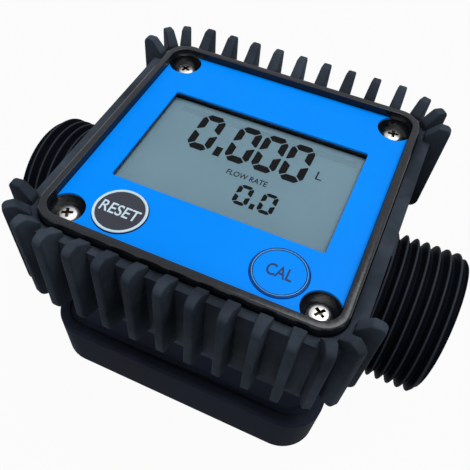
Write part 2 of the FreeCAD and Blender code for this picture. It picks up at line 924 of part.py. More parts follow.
def board_screws():
    body = new_body("board_screws")
    seat = S.board_top
    tip = seat - S.board_thick - S.board_screw_bite + S.label_gap
    head = S.board_head_r
    drawing = sketch(body, "XZ", at=(S.board_screw_x, 0, -S.board_screw_y))
    outline(
        drawing,
        [
            (0, tip),
            (S.board_screw_r, tip + S.board_screw_r),
            (S.board_screw_r, seat),
            (head, seat),
            (head, seat + S.board_screw_r),
            (0, seat + S.board_screw_r),
        ],
    )
    screw = revolve(body, drawing, "V_Axis")
    mirrored(body, screw)
    return body


def controller_chip():
    body = new_body("controller_chip")
    drawing = sketch(body, at=(0, 0, S.board_top))
    rectangle(drawing, S.chip_half_x, S.chip_half_y, x=0, y=S.chip_y)
    pad(body, drawing, S.board_thick)
    return body


def pickup_sensor():
    """Hall sensor under the board, down in a pocket over the rotor."""
    body = new_body("pickup_sensor")
    drawing = sketch(body, at=(0, 0, S.sensor_floor))
    rectangle(drawing, S.sensor_length / 2, S.sensor_width / 2)
    pad(body, drawing, S.board_top - S.board_thick - S.sensor_floor)
    return body


def tact_switch(label, x, y):
    """Switch housing with a round well for its plunger."""
    body = new_body(label)
    half = S.switch_half
    case = sketch(body, at=(0, 0, S.board_top))
    rectangle(case, half, half, x=x, y=y)
    pad(body, case, S.switch_height)
    well = sketch(body, at=(0, 0, S.board_top + S.switch_height))
    circle(well, x, y, S.stem_r + S.stem_gap)
    pocket(body, well, S.plunger_sink + S.key_travel + S.key_gap)
    return body


def plunger_top():
    return S.board_top + S.switch_height + S.stem_gap + S.key_gap


def switch_plunger(label, x, y):
    body = new_body(label)
    bottom = S.board_top + S.switch_height - S.plunger_sink
    drawing = sketch(body, at=(0, 0, bottom))
    circle(drawing, x, y, S.stem_r)
    pad(body, drawing, plunger_top() - bottom)
    return body


def key(label, x, y, radius):
    """Key cap, a little proud of the label, with the stem that reaches its switch."""
    body = new_body(label)
    base = S.label_top + S.key_proud - S.key_thick
    cap = sketch(body, at=(0, 0, base))
    circle(cap, x, y, radius)
    disc = pad(body, cap, S.key_thick)
    top = (S.label_top + S.key_proud).value
    rounded_edges(body, disc, S.key_gap, lambda edge: lies_at(edge, top))
    stem = sketch(body, at=(0, 0, plunger_top()))
    circle(stem, x, y, S.stem_r)
    pad(body, stem, base - plunger_top())
    return body


def cage_r():
    return S.bore_r - S.cage_gap


def sleeve_r():
    return cage_r() - S.sleeve_thick


def hub_start():
    """Distance from the middle to a straightener's hub, past the bush that stands proud of it."""
    return S.rotor_half + S.thrust_gap + S.bush_proud


def straightener(label, side, reach):
    """Ring, hub and vanes; reach is how far the ring goes on towards the other side."""
    body = new_body(label, S.axis_height)
    outer = S.shoulder_x * side
    inner = reach * side
    ring = sketch(body, "XZ")
    outline(ring, [(outer, sleeve_r()), (inner, sleeve_r()), (inner, cage_r()), (outer, cage_r())])
    revolve(body, ring)
    hub = sketch(body, "XZ")
    back = hub_start() * side
    nose = (S.shoulder_x - S.cage_gap) * side
    bush_seat = (hub_start() - S.bush_proud + S.bush_length) * side
    shoulder = nose - S.nose_length * side
    outline(
        hub,
        [
            (back, S.bush_r),
            (back, S.hub_r),
            (shoulder, S.hub_r),
            (nose, S.shaft_r),
            (nose, 0),
            (bush_seat, 0),
            (bush_seat, S.bush_r),
        ],
    )
    revolve(body, hub)
    vane = sketch(body, "YZ", at=(0, 0, (S.shoulder_x - S.vane_length - S.cage_gap) * side))
    low, high = S.hub_r - S.vane_thick / 2, sleeve_r() + S.sleeve_thick / 2
    half = S.vane_thick / 2
    outline(vane, [(low, -half), (high, -half), (high, half), (low, half)])
    blade = pad(body, vane, S.vane_length, Reversed=side < 0)
    polar(body, blade, S.vane_count)
    return body


def outlet_ring_start():
    """Where the cage's sleeve ends and the outlet spider's ring begins."""
    return S.rotor_half + S.sleeve_over


def bush(label, side):
    body = new_body(label, S.axis_height)
    start = S.rotor_half + S.thrust_gap
    near, far = start * side, (start + S.bush_length) * side
    drawing = sketch(body, "XZ")
    inner = S.shaft_r + S.shaft_gap
    outline(drawing, [(near, inner), (near, S.bush_r), (far, S.bush_r), (far, inner)])
    revolve(body, drawing)
    return body


def rotor_shaft():
    body = new_body("rotor_shaft", S.axis_height)
    end = S.rotor_half + S.bush_length
    chamfer = S.thrust_gap
    radius = S.shaft_r
    half = [(end, radius - chamfer), (end - chamfer, radius)]
    drawing = sketch(body, "XZ")
    outline(drawing, [(end, 0), *half, *((-x, r) for x, r in reversed(half)), (-end, 0)])
    revolve(body, drawing)
    return body


def turbine_rotor():
    """Helical blades swept along the flow and repeated round the hub that carries them."""
    body = new_body("turbine_rotor", S.axis_height)
    tip = sleeve_r() - S.rotor_tip_gap
    root = S.hub_r - S.blade_thick
    thick = S.blade_thick / 2
    section = sketch(body, "YZ", at=(0, 0, -S.blade_half))
    outline(section, [(root, -thick), (tip, -thick), (tip, thick), (root, thick)])
    DOC.recompute()
    blade = body.newObject("PartDesign::AdditiveHelix", "turbine_rotor_blade")
    blade.Profile = section
    blade.ReferenceAxis = (origin_feature(body, "X_Axis"), [""])
    blade.Mode = "pitch-height-angle"
    give(blade, {"Pitch": S.blade_lead, "Height": S.blade_half * 2, "Angle": 0.0})
    checked(body, blade, True)
    polar(body, blade, S.blade_count)
    half = S.rotor_half
    hub = sketch(body, "XZ")
    hole, outer, edge = S.shaft_r, S.hub_r, S.hub_round
    outline(hub, [(-half, hole), (half, hole), (half, outer, edge), (-half, outer, edge)])
    revolve(body, hub)
    seat = sketch(body, at=(0, 0, S.hub_r))
    circle(seat, 0, 0, S.magnet_r)
    polar(body, pocket(body, seat, S.magnet_length), S.magnet_count, False)
    return body


def rotor_magnets():
    body = new_body("rotor_magnets", S.axis_height)
    drawing = sketch(body, at=(0, 0, S.hub_r - S.magnet_length))
    circle(drawing, 0, 0, S.magnet_r)
    magnet = pad(body, drawing, S.magnet_length - S.thrust_gap)
    polar(body, magnet, S.magnet_count)
    return body


def inlet_strainer():
    """Rimmed disc with a square grid of bars that keeps dirt off the rotor."""
    body = new_body("inlet_strainer", S.axis_height)
    face = -(S.shoulder_x + S.strainer_thick)
    pitch = S.strainer_pitch
    half = S.strainer_bar / 2
    count = 2 * int(sleeve_r().value // pitch.value) + 1
    run = pitch * (count - 1)
    for long_x, long_y, axis in ((half, cage_r(), "V_Axis"), (cage_r(), half, "H_Axis")):
        bar = sketch(body, "YZ", at=(0, 0, face))
        upright = axis == "V_Axis"
        shift = -run / 2
        rectangle(bar, long_x, long_y, x=shift if upright else 0, y=0 if upright else shift)
        first = pad(body, bar, S.strainer_thick / 2)
        direction = "Y_Axis" if upright else "Z_Axis"
        values = {
            "Direction": (origin_feature(body, direction), [""]),
            "Length": run,
            "Occurrences": count,
        }
        repeated(body, [first], True, ("LinearPattern", values))
    trim = sketch(body, "YZ", at=(0, 0, face))
    circle(trim, 0, 0, sleeve_r())
    circle(trim, 0, 0, S.bore_r * 2)
    pocket(body, trim, S.strainer_thick, Reversed=True)
    rim = sketch(body, "YZ", at=(0, 0, face))
    circle(rim, 0, 0, sleeve_r())
    circle(rim, 0, 0, cage_r())
    pad(body, rim, S.strainer_thick)
    return body


def retaining_ring():
    """Snap ring in its groove, with the gap and ears that pliers close."""
    body = new_body("retaining_ring", S.axis_height)
    face = -(S.shoulder_x + S.strainer_thick + S.clip_thick)
    outer = S.bore_r + S.clip_groove - S.cage_gap
    ring = sketch(body, "YZ", at=(0, 0, face))
    circle(ring, 0, 0, outer)
    circle(ring, 0, 0, outer - S.clip_width)
    pad(body, ring, S.clip_thick)
    ear_y = outer - S.clip_width - S.clip_thick
    ears = sketch(body, "YZ", at=(0, 0, face))
    rectangle(ears, S.ear_half_x, S.ear_half_y, x=0, y=ear_y)
    pad(body, ears, S.clip_thick)
    gap = sketch(body, "YZ", at=(0, 0, face))
    rectangle(gap, S.clip_width / 2, S.clip_width * 3, x=0, y=outer)
    pocket(body, gap, S.clip_thick, Reversed=True)
    holes = sketch(body, "YZ", at=(0, 0, face))
    for side in (-1, 1):
        circle(holes, S.ear_hole_x * side, ear_y, S.ear_hole_r)
    pocket(body, holes, S.clip_thick, Reversed=True)
    return body


def fan_centre():
    """The fins of a corner fan out from the middle of the guard's corner round."""
    return S.guard_half_x - S.guard_corner, S.guard_half_y - S.guard_corner


def rubber_guard():
    body = new_body("rubber_guard")
    row_of_fins(body)
    fans_of_fins(body)
    wall = sketch(body, at=(0, 0, S.guard_bottom))
    rectangle(wall, S.guard_half_x, S.guard_half_y, S.guard_corner)
    pad(body, wall, S.guard_top - S.guard_bottom)
    skirt = sketch(body, at=(0, 0, S.skirt_bottom))
    rectangle(skirt, S.skirt_half_x, S.skirt_half_y, S.guard_corner - S.skirt_step_x)
    pad(body, skirt, S.guard_bottom - S.skirt_bottom)
    guard_hollows(body)
    return body


def row_of_fins(body):
    """Straight fins along the front, mirrored to the back."""
    run = S.row_pitch * (S.row_count.value - 1)
    first = fin(body, -run / 2, Size(0.0), S.row_reach, S.row_flare, S.row_bottom)
    row = {
        "Direction": (origin_feature(body, "X_Axis"), [""]),
        "Length": run,
        "Occurrences": S.row_count,
    }
    repeated(body, first, True, ("LinearPattern", row), mirror_step(body, "XZ"))


def fans_of_fins(body):
    """Three splayed fins at one corner, each mirrored to the other corners."""
    fan_x = fan_centre()[0]
    for angle in (S.fan_first, S.fan_second, S.fan_third):
        splayed = fin(body, fan_x, angle, S.fan_reach, S.fan_flare, S.fan_bottom)
        repeated(body, splayed, True, mirror_step(body, "XZ"), mirror_step(body, "YZ"))


def fin(body, x, angle, reach, flare, bottom):
    """One fin: a plan that narrows outwards, cut to its side view; angle turns it from Y to X."""
    fan_y = fan_centre()[1]
    root, crown = S.fin_root, S.fin_top
    far = reach + flare + S.fin_margin
    plan = sketch(body, "XY", (x, fan_y, S.guard_bottom), (Vector(0, 0, -1), angle))
    wide, narrow = S.fin_root_half, S.fin_end_half
    outline(plan, [(-wide, root), (wide, root), (narrow, far), (-narrow, far)])
    blank = pad(body, plan, crown + S.fin_margin - S.guard_bottom)
    side = sketch(body, "YZ", (fan_y, 0, x), (Vector(0, -1, 0), angle))
    ceiling = crown + S.fin_margin * 2
    outline(
        side,
        [
            (root, S.fin_root_top),
            (reach - S.fin_crown, crown),
            (reach, crown, S.fin_tip_round),
            (reach + flare, bottom, S.fin_foot_round),
            (root, S.guard_bottom),
            (far + S.fin_margin, S.guard_bottom),
            (far + S.fin_margin, ceiling),
            (root, ceiling),
        ],
    )
    trim = pocket(body, side, wide * 2 + S.guard_gap, Midplane=True)
    return [blank, trim]


def guard_hollows(body):
    """The hole that the housing fills, the wider one for the cover, and the arches over the duct."""
    gap = S.guard_gap
    inside = sketch(body, at=(0, 0, S.fin_top))
    rectangle(inside, S.housing_half_x + gap, S.housing_half_y + gap, housing_corner() + gap)
    pocket(body, inside)
    seat = sketch(body, at=(0, 0, S.fin_top))
    rectangle(seat, S.cover_half_x + gap, S.cover_half_y + gap, S.cover_corner + gap)
    pocket(body, seat, S.fin_top - cover_seat() + gap)
    arch = sketch(body, "YZ")
    circle(arch, 0, S.axis_height, S.collar_r + gap)
    pocket(body, arch, Midplane=True)


def export(pieces):
    DOC.recompute()
    for item in DOC.Objects:
        if "Invalid" in item.State or "Error" in item.State:
            raise RuntimeError(f"{item.Label} failed")
    os.makedirs("parts", exist_ok=True)
    for piece in pieces:
        shape = piece.Shape
        if shape.isNull() or not shape.isValid():
            raise RuntimeError(f"{piece.Label} has no valid shape")
        shape.exportStep(os.path.join("parts", f"{piece.Label}.step"))


def build():
    fill_sheet()
    return [
        meter_body(),
        battery_cover(),
        battery_cover_screws(),
        battery_gasket(),
        battery("front_battery", -1),
        battery("rear_battery", 1),
        plate_contacts(),
        spring_contacts(),
        top_cover(),
        cover_gasket(),
        cover_screws(),
        face_label(),
        lcd_window(),
        lcd_display(),
        lcd_connectors(),
        circuit_board(),
        board_screws(),
        controller_chip(),
        pickup_sensor(),
        tact_switch("reset_switch", S.reset_x, S.reset_y),
        tact_switch("cal_switch", S.cal_x, S.cal_y),
        switch_plunger("reset_plunger", S.reset_x, S.reset_y),
        switch_plunger("cal_plunger", S.cal_x, S.cal_y),
        key("reset_key", S.reset_x, S.reset_y, S.reset_r),
        key("cal_key", S.cal_x, S.cal_y, S.cal_r),
        straightener("turbine_cage", -1, -outlet_ring_start()),
        straightener("outlet_spider", 1, outlet_ring_start()),
        bush("inlet_bush", -1),
        bush("outlet_bush", 1),
        rotor_shaft(),
        turbine_rotor(),
        rotor_magnets(),
        inlet_strainer(),
        retaining_ring(),
        rubber_guard(),
    ]


export(build())
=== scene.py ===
import bmesh
import bpy
import json
import math
from mathutils import Matrix, Vector


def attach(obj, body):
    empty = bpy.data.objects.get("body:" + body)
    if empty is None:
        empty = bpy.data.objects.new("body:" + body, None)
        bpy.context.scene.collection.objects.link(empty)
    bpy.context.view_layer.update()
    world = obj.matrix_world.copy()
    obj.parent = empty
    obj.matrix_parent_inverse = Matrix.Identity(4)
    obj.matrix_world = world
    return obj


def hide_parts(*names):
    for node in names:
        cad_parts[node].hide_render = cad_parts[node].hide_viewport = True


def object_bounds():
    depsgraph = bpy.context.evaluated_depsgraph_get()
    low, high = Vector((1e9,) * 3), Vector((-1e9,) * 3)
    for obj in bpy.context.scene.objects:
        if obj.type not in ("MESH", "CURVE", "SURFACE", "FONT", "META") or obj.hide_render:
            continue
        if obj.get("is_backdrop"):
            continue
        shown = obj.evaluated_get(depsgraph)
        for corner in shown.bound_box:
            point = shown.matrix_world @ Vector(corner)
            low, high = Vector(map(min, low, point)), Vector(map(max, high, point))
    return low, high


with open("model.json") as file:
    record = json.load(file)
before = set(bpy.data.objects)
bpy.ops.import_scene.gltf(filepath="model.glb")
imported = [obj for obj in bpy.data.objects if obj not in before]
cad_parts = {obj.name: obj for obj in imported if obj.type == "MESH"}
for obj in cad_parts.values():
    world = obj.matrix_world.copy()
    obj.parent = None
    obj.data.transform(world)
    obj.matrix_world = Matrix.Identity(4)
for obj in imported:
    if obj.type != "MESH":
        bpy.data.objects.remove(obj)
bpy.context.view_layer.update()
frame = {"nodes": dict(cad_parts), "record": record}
MM = 0.001
body_of = {node: body for body, nodes in frame["record"]["behaviour"]["bodies"].items() for node in nodes}

# Camera, floor and light.
# The meter stands on a plain pale floor, seen from close above its front side. A broad soft lamp high
# up behind it lights the tops, a weak one fills in the front, and both floor and sky show nearly white.
EYE = (26.04, -77.55, 127.52)  # in millimetres
EYE_RIGHT = Vector((0.90646, 0.42102, 0.03285))
EYE_UP = Vector((-0.36832, 0.75015, 0.5492))
camera_data = bpy.data.cameras.new("photo_camera")
camera_data.sensor_width = 36.0
camera_data.lens = 41.03
camera_data.shift_x = 0.0523
camera_data.shift_y = 0.1138
camera_data.clip_start = 0.005
camera_data.clip_end = 20.0
camera = bpy.data.objects.new("photo_camera", camera_data)
bpy.context.scene.collection.objects.link(camera)
looks = Matrix((EYE_RIGHT, EYE_UP, EYE_RIGHT.cross(EYE_UP))).transposed().to_4x4()
camera.matrix_world = Matrix.Translation(Vector(EYE) * MM) @ looks
bpy.context.scene.camera = camera
bpy.context.scene.view_settings.view_transform = "Standard"


def new_material(name):
    """A new material, its node tree and its shader."""
    material = bpy.data.materials.new(name)
    material.use_nodes = True
    return material, material.node_tree, material.node_tree.nodes["Principled BSDF"]


def node(tree, kind, values=None, **settings):
    """Add a node; values go to its sockets and settings to its own properties."""
    item = tree.nodes.new(f"ShaderNode{kind}")
    for key, value in settings.items():
        setattr(item, key, value)
    for key, value in (values or {}).items():
        item.inputs[key].default_value = value
    return item


WHITE = (1, 1, 1, 1)
FLOOR_SIZE = 6.0
FLOOR_DROP = 0.05  # keeps the floor clear of the base, in millimetres
FLOOR_GLOW = 0.96
bpy.ops.object.select_all(action="DESELECT")
bpy.ops.mesh.primitive_plane_add(size=FLOOR_SIZE, location=(0, 0, -FLOOR_DROP * MM))
floor = bpy.context.object
floor.name = "floor"
floor_material, tree, shader = new_material("pale_floor")
shader.inputs["Base Color"].default_value = (0.16, 0.16, 0.16, 1)
shader.inputs["Roughness"].default_value = 0.9
paths = node(tree, "LightPath")
seen = node(tree, "Math", operation="MAXIMUM")
mirrored = node(tree, "Math", operation="MAXIMUM")
share = node(tree, "Math", {1: FLOOR_GLOW}, operation="MULTIPLY")
glow = node(tree, "Emission", {"Color": WHITE, "Strength": 1.0})
mix = node(tree, "MixShader")
tree.links.new(paths.outputs["Is Camera Ray"], seen.inputs[0])
tree.links.new(paths.outputs["Is Transmission Ray"], mirrored.inputs[0])
tree.links.new(paths.outputs["Is Glossy Ray"], mirrored.inputs[1])
tree.links.new(mirrored.outputs[0], seen.inputs[1])
tree.links.new(seen.outputs[0], share.inputs[0])
tree.links.new(share.outputs[0], mix.inputs[0])
tree.links.new(shader.outputs[0], mix.inputs[1])
tree.links.new(glow.outputs[0], mix.inputs[2])
tree.links.new(mix.outputs[0], tree.nodes["Material Output"].inputs["Surface"])
floor.data.materials.append(floor_material)
floor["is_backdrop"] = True

SKY_STRENGTH = 0.35
world = bpy.data.worlds.new("studio")
bpy.context.scene.world = world
world.use_nodes = True
sky = world.node_tree
sky.nodes["Background"].inputs["Color"].default_value = WHITE
sky.nodes["Background"].inputs["Strength"].default_value = SKY_STRENGTH
sky_seen = node(sky, "Background", {"Color": WHITE, "Strength": 1.0})
sky_paths = node(sky, "LightPath")
sky_any = node(sky, "Math", operation="MAXIMUM")
sky_mix = node(sky, "MixShader")
sky.links.new(sky_paths.outputs["Is Camera Ray"], sky_any.inputs[0])
sky.links.new(sky_paths.outputs["Is Glossy Ray"], sky_any.inputs[1])
sky.links.new(sky_any.outputs[0], sky_mix.inputs[0])
sky.links.new(sky.nodes["Background"].outputs[0], sky_mix.inputs[1])
sky.links.new(sky_seen.outputs[0], sky_mix.inputs[2])
sky.links.new(sky_mix.outputs[0], sky.nodes["World Output"].inputs["Surface"])

LAMP_TARGET = Vector((0, 0, 0.03))
# each lamp's place and size in metres, and its power in watts
for name, place, size, power in (
    ("front_lamp", (-0.12, -0.62, 0.45), 0.6, 0.85),
    ("top_lamp", (0.15, 0.25, 0.85), 0.5, 5.7),
):
    lamp_data = bpy.data.lights.new(name, "AREA")
    lamp_data.size = size
    lamp_data.energy = power
    lamp = bpy.data.objects.new(name, lamp_data)
    bpy.context.scene.collection.objects.link(lamp)
    lamp.location = place
    aim = LAMP_TARGET - Vector(place)
    lamp.rotation_euler = aim.to_track_quat("-Z", "Y").to_euler()

# Meter body.
# One moulding in glass-filled nylon: the duct with its two threaded stubs, the electronics tray and
# the broad base with the battery bays. The G1 threads are cut into the plain stubs with a coiled
# cutter, and the moulding has a fine matt grain all over.
CLOUD_SCALE = 55.0
WELD = 0.0005  # how near corners are joined, in millimetres


def detailed(name, color, rough, grain=0.25, grain_depth=0.012, drift=0.12, shade=0.25,
             streaks=(1, 1, 1), **sockets):
    """A moulded, drawn or turned surface: cloudy colour and roughness, with a fine grain as relief.
    Sizes of the grain and its depth are in millimetres. Shade is how far the colour wanders, drift how
    far the roughness does, and streaks draws the grain out along the directions whose factor is small."""
    material, tree, shader = new_material(name)
    link = tree.links.new
    place = node(tree, "TexCoord").outputs["Object"]
    cloud = node(tree, "TexNoise", {"Scale": CLOUD_SCALE, "Detail": 5.0, "Roughness": 0.6})
    fine = node(tree, "TexNoise", {"Scale": 1 / (grain * MM), "Detail": 3.0, "Roughness": 0.55})
    link(place, cloud.inputs["Vector"])
    drawn = node(tree, "VectorMath", {1: streaks}, operation="MULTIPLY")
    link(place, drawn.inputs[0])
    link(drawn.outputs[0], fine.inputs["Vector"])
    tint = node(tree, "MapRange", {"From Min": 0.3, "From Max": 0.7,
                                   "To Min": 1 - shade, "To Max": 1 + shade})
    link(cloud.outputs["Fac"], tint.inputs["Value"])
    shaded = node(tree, "VectorMath", {0: color}, operation="SCALE")
    link(tint.outputs["Result"], shaded.inputs["Scale"])
    link(shaded.outputs[0], shader.inputs["Base Color"])
    both = node(tree, "Math", {1: 0.5, 2: 0.0}, operation="MULTIPLY_ADD")
    link(cloud.outputs["Fac"], both.inputs[0])
    half = node(tree, "Math", {1: 0.5}, operation="MULTIPLY")
    link(fine.outputs["Fac"], half.inputs[0])
    link(half.outputs[0], both.inputs[2])
    wander = node(tree, "MapRange", {"From Min": 0.35, "From Max": 0.65,
                                     "To Min": max(rough - drift, 0.02), "To Max": min(rough + drift, 1.0)})
    link(both.outputs[0], wander.inputs["Value"])
    link(wander.outputs["Result"], shader.inputs["Roughness"])
    relief = node(tree, "Bump", {"Strength": 1.0, "Distance": grain_depth * MM})
    link(fine.outputs["Fac"], relief.inputs["Height"])
    link(relief.outputs[0], shader.inputs["Normal"])
    for socket, value in sockets.items():
        shader.inputs[socket.replace("_", " ")].default_value = value
    return material


def pick_alone(piece):
    """Select one piece alone, in object mode."""
    if bpy.context.mode != "OBJECT":
        bpy.ops.object.mode_set(mode="OBJECT")
    bpy.ops.object.select_all(action="DESELECT")
    piece.select_set(True)
    bpy.context.view_layer.objects.active = piece


def edit(piece):
    """Select one piece alone and open it in edit mode."""
    pick_alone(piece)
    bpy.ops.object.mode_set(mode="EDIT")


def done(piece, smooth=35):
    """Leave edit mode, put the piece's place into its mesh and shade it."""
    pick_alone(piece)
    bpy.ops.object.transform_apply(location=True, rotation=True, scale=True)
    bpy.ops.object.shade_smooth_by_angle(angle=math.radians(smooth))
    return piece


def apply_modifier(piece, kind, **settings):
    """Add a modifier and apply it at once."""
    pick_alone(piece)
    step = piece.modifiers.new(kind.lower(), kind)
    for key, value in settings.items():
        setattr(step, key, value)
    bpy.ops.object.modifier_apply(modifier=step.name)


def merged_copy(source, name):
    """A copy of a CAD node with its loose triangles joined."""
    piece = bpy.data.objects.new(name, frame["nodes"][source].data.copy())
    bpy.context.scene.collection.objects.link(piece)
    edit(piece)
    bpy.ops.mesh.select_all(action="SELECT")
    bpy.ops.mesh.remove_doubles(threshold=WELD * MM)
    bpy.ops.object.mode_set(mode="OBJECT")
    return piece


def close_up(piece):
    """Join what meets, close open ends and turn every face outwards."""
    edit(piece)
    bpy.ops.mesh.select_mode(type="VERT")
    bpy.ops.mesh.select_all(action="SELECT")
    bpy.ops.mesh.remove_doubles(threshold=WELD * MM)
    bpy.ops.mesh.fill_holes(sides=0)
    bpy.ops.mesh.select_all(action="SELECT")
    bpy.ops.mesh.normals_make_consistent(inside=False)
    bpy.ops.object.mode_set(mode="OBJECT")


def finish_piece(piece, material, source):
    """Give a piece its material, and let it stand for a CAD node and move with its body."""
    if material:
        piece.data.materials.clear()
        piece.data.materials.append(material)
    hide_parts(source)
    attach(piece, body_of[source])


def dress(source, material):
    """Give a carried-over CAD node its material."""
    for holder in frame["nodes"][source].material_slots:
        holder.material = material


AXIS_HEIGHT = 23.0
PITCH = 2.309
TURNS = 8
TURN_STEPS = 72
# half of the groove's section, Whitworth form: along the duct and out from its axis
GROOVE = [(1.08, 17.3), (1.06, 16.62), (0.98, 16.55), (0.88, 16.42), (0.26, 15.25), (0.12, 15.16)]
GROOVE_START = 33.86
STUB_FROM = 33.95
CREST_FROM, CREST_TO = 16.42, 16.6
CREST_WEAR = (0.03, 0.034, 0.042)
# how far the stubs' colour is darkened: painted shade for the shadow in the thread flanks
THREAD_PAINTED_SHADE = 0.25
meter_body = merged_copy("meter_body", "threaded_body")
section = GROOVE + [(-x, r) for x, r in reversed(GROOVE)]
for side in (1, -1):
    bpy.ops.object.select_all(action="DESELECT")
    bpy.ops.mesh.primitive_circle_add(
        vertices=len(section), radius=MM, fill_type="NGON",
        location=(GROOVE_START * MM, 0, AXIS_HEIGHT * MM),
    )
    cutter = bpy.context.object
    for corner, (along, out) in zip(cutter.data.vertices, section):
        corner.co = (along * MM, 0, out * MM)
    edit(cutter)
    bpy.ops.mesh.select_all(action="SELECT")
    bpy.ops.mesh.delete(type="ONLY_FACE")
    apply_modifier(cutter, "SCREW", axis="X", screw_offset=PITCH * MM, iterations=TURNS,
                   steps=TURN_STEPS, render_steps=TURN_STEPS, use_merge_vertices=False)
    close_up(cutter)
    done(cutter)
    if side < 0:
        cutter.rotation_euler = (0, 0, math.pi)
        done(cutter)
    apply_modifier(meter_body, "BOOLEAN", operation="DIFFERENCE", object=cutter, solver="EXACT")
    bpy.data.objects.remove(cutter)
done(meter_body)
apply_modifier(meter_body, "WEIGHTED_NORMAL", mode="FACE_AREA", weight=100, keep_sharp=True)
nylon = detailed("matt_black_nylon", (0.0195, 0.024, 0.038), 0.5, grain=0.3, grain_depth=0.014,
                 Specular_IOR_Level=0.004)
# the threads are painted a deeper black, as painted shade for the shadow in their flanks, and their crests
# are worn a little paler
tree = nylon.node_tree
link = tree.links.new
shader = tree.nodes["Principled BSDF"]
place = node(tree, "TexCoord").outputs["Object"]
from_axis = node(tree, "VectorMath", {1: (0, 0, AXIS_HEIGHT * MM)}, operation="SUBTRACT")
across = node(tree, "VectorMath", {1: (0, 1, 1)}, operation="MULTIPLY")
radius = node(tree, "VectorMath", operation="LENGTH")
crest = node(tree, "MapRange", {"From Min": CREST_FROM * MM, "From Max": CREST_TO * MM})
along = node(tree, "SeparateXYZ")
outside = node(tree, "Math", operation="ABSOLUTE")
on_stub = node(tree, "Math", {1: STUB_FROM * MM}, operation="GREATER_THAN")
worn = node(tree, "Math", operation="MULTIPLY")
paler = node(tree, "VectorMath", {0: CREST_WEAR}, operation="SCALE")
sum_up = node(tree, "VectorMath", operation="ADD")
# painted shade: the stubs' base colour is scaled darker to stand in for the shadow between the threads
painted_thread_shade = node(tree, "MapRange", {"To Min": 1.0, "To Max": THREAD_PAINTED_SHADE})
deeper = node(tree, "VectorMath", operation="SCALE")
link(place, from_axis.inputs[0])
link(from_axis.outputs[0], across.inputs[0])
link(across.outputs[0], radius.inputs[0])
link(radius.outputs["Value"], crest.inputs["Value"])
link(place, along.inputs[0])
link(along.outputs["X"], outside.inputs[0])
link(outside.outputs[0], on_stub.inputs[0])
link(crest.outputs["Result"], worn.inputs[0])
link(on_stub.outputs[0], worn.inputs[1])
link(worn.outputs[0], paler.inputs["Scale"])
link(on_stub.outputs[0], painted_thread_shade.inputs["Value"])
link(shader.inputs["Base Color"].links[0].from_socket, deeper.inputs[0])
link(painted_thread_shade.outputs["Result"], deeper.inputs["Scale"])
link(deeper.outputs[0], sum_up.inputs[0])
link(paler.outputs[0], sum_up.inputs[1])
link(sum_up.outputs[0], shader.inputs["Base Color"])
finish_piece(meter_body, nylon, "meter_body")

# Inlet strainer.
# A black moulded grid at the inlet, snapped in ahead of the flow straightener to keep dirt off the
# rotor. Its bars have the sheen of a small injection moulding.
dress("inlet_strainer", detailed("moulded_grid", (0.018, 0.018, 0.02), 0.38, grain=0.15, grain_depth=0.006,
                                 Specular_IOR_Level=0.3))

# Turbine cage and outlet spider.
# Two natural acetal mouldings pushed into the duct: vanes that straighten the flow, a hub that holds
# a bearing bush, and the cage's sleeve that the rotor turns in. Acetal is milky and a little waxy.
milky = {"Subsurface_Radius": (1.0, 0.95, 0.8), "Subsurface_Scale": 0.6 * MM}
acetal = detailed("milky_acetal", (0.66, 0.655, 0.62), 0.38, grain=0.2, grain_depth=0.004, drift=0.08,
                  shade=0.04, Subsurface_Weight=0.15, **milky)
dress("turbine_cage", acetal)
dress("outlet_spider", acetal)

# Turbine rotor and magnets.
# The rotor is one acetal moulding with six helical blades, turning with the flow. Two small nickel
# plated magnets are pressed into its hub.
dress("turbine_rotor", detailed("rotor_acetal", (0.72, 0.715, 0.69), 0.3, grain=0.12, grain_depth=0.003,
                                drift=0.08, shade=0.05, Subsurface_Weight=0.12, **milky))
dress("rotor_magnets", detailed("nickel_plate", (0.58, 0.55, 0.49), 0.22, grain=0.1, grain_depth=0.002,
                                drift=0.08, shade=0.1, Metallic=1.0))

# Rotor shaft and bushes.
# A ground steel pin that runs in two turned brass bushes, pressed into the hubs. The pin is polished
# round, and the bushes keep the fine rings of the turning tool.
dress("rotor_shaft", detailed("ground_steel", (0.6, 0.6, 0.61), 0.18, grain=0.08, grain_depth=0.002,
                              drift=0.07, shade=0.06, streaks=(1, 0.1, 0.1), Metallic=1.0))
turned_brass = detailed("turned_brass", (0.62, 0.42, 0.15), 0.28, grain=0.08, grain_depth=0.004,
                        drift=0.1, shade=0.12, streaks=(1, 0.06, 0.06), Metallic=1.0)
dress("inlet_bush", turned_brass)
dress("outlet_bush", turned_brass)

# Retaining ring.
# A stamped spring steel snap ring with two holed ears, sprung into a groove of the duct. It is bright
# with faint rolling marks.
dress("retaining_ring", detailed("spring_steel", (0.5, 0.5, 0.5), 0.3, grain=0.12, grain_depth=0.004,
                                 drift=0.12, shade=0.15, streaks=(1, 0.15, 1), Metallic=1.0))

# Pickup sensor, controller chip and switches.
# Black moulded parts soldered to the board: the sensor that feels the rotor's magnets through the
# duct's wall, the controller, and a tact switch under each key with its small plunger.
moulded_chip = detailed("moulded_epoxy", (0.014, 0.014, 0.015), 0.55, grain=0.06, grain_depth=0.005,
                        drift=0.1, shade=0.2, Specular_IOR_Level=0.3)
for source in ("pickup_sensor", "controller_chip"):
    dress(source, moulded_chip)
switch_case = detailed("switch_case", (0.02, 0.02, 0.021), 0.42, grain=0.1, grain_depth=0.004,
                       drift=0.1, shade=0.15, Specular_IOR_Level=0.35)
for source in ("reset_switch", "cal_switch"):
    dress(source, switch_case)
plunger_black = detailed("plunger_black", (0.03, 0.03, 0.032), 0.36, grain=0.15, grain_depth=0.004,
                         drift=0.1, shade=0.12)
for source in ("reset_plunger", "cal_plunger"):
    dress(source, plunger_black)

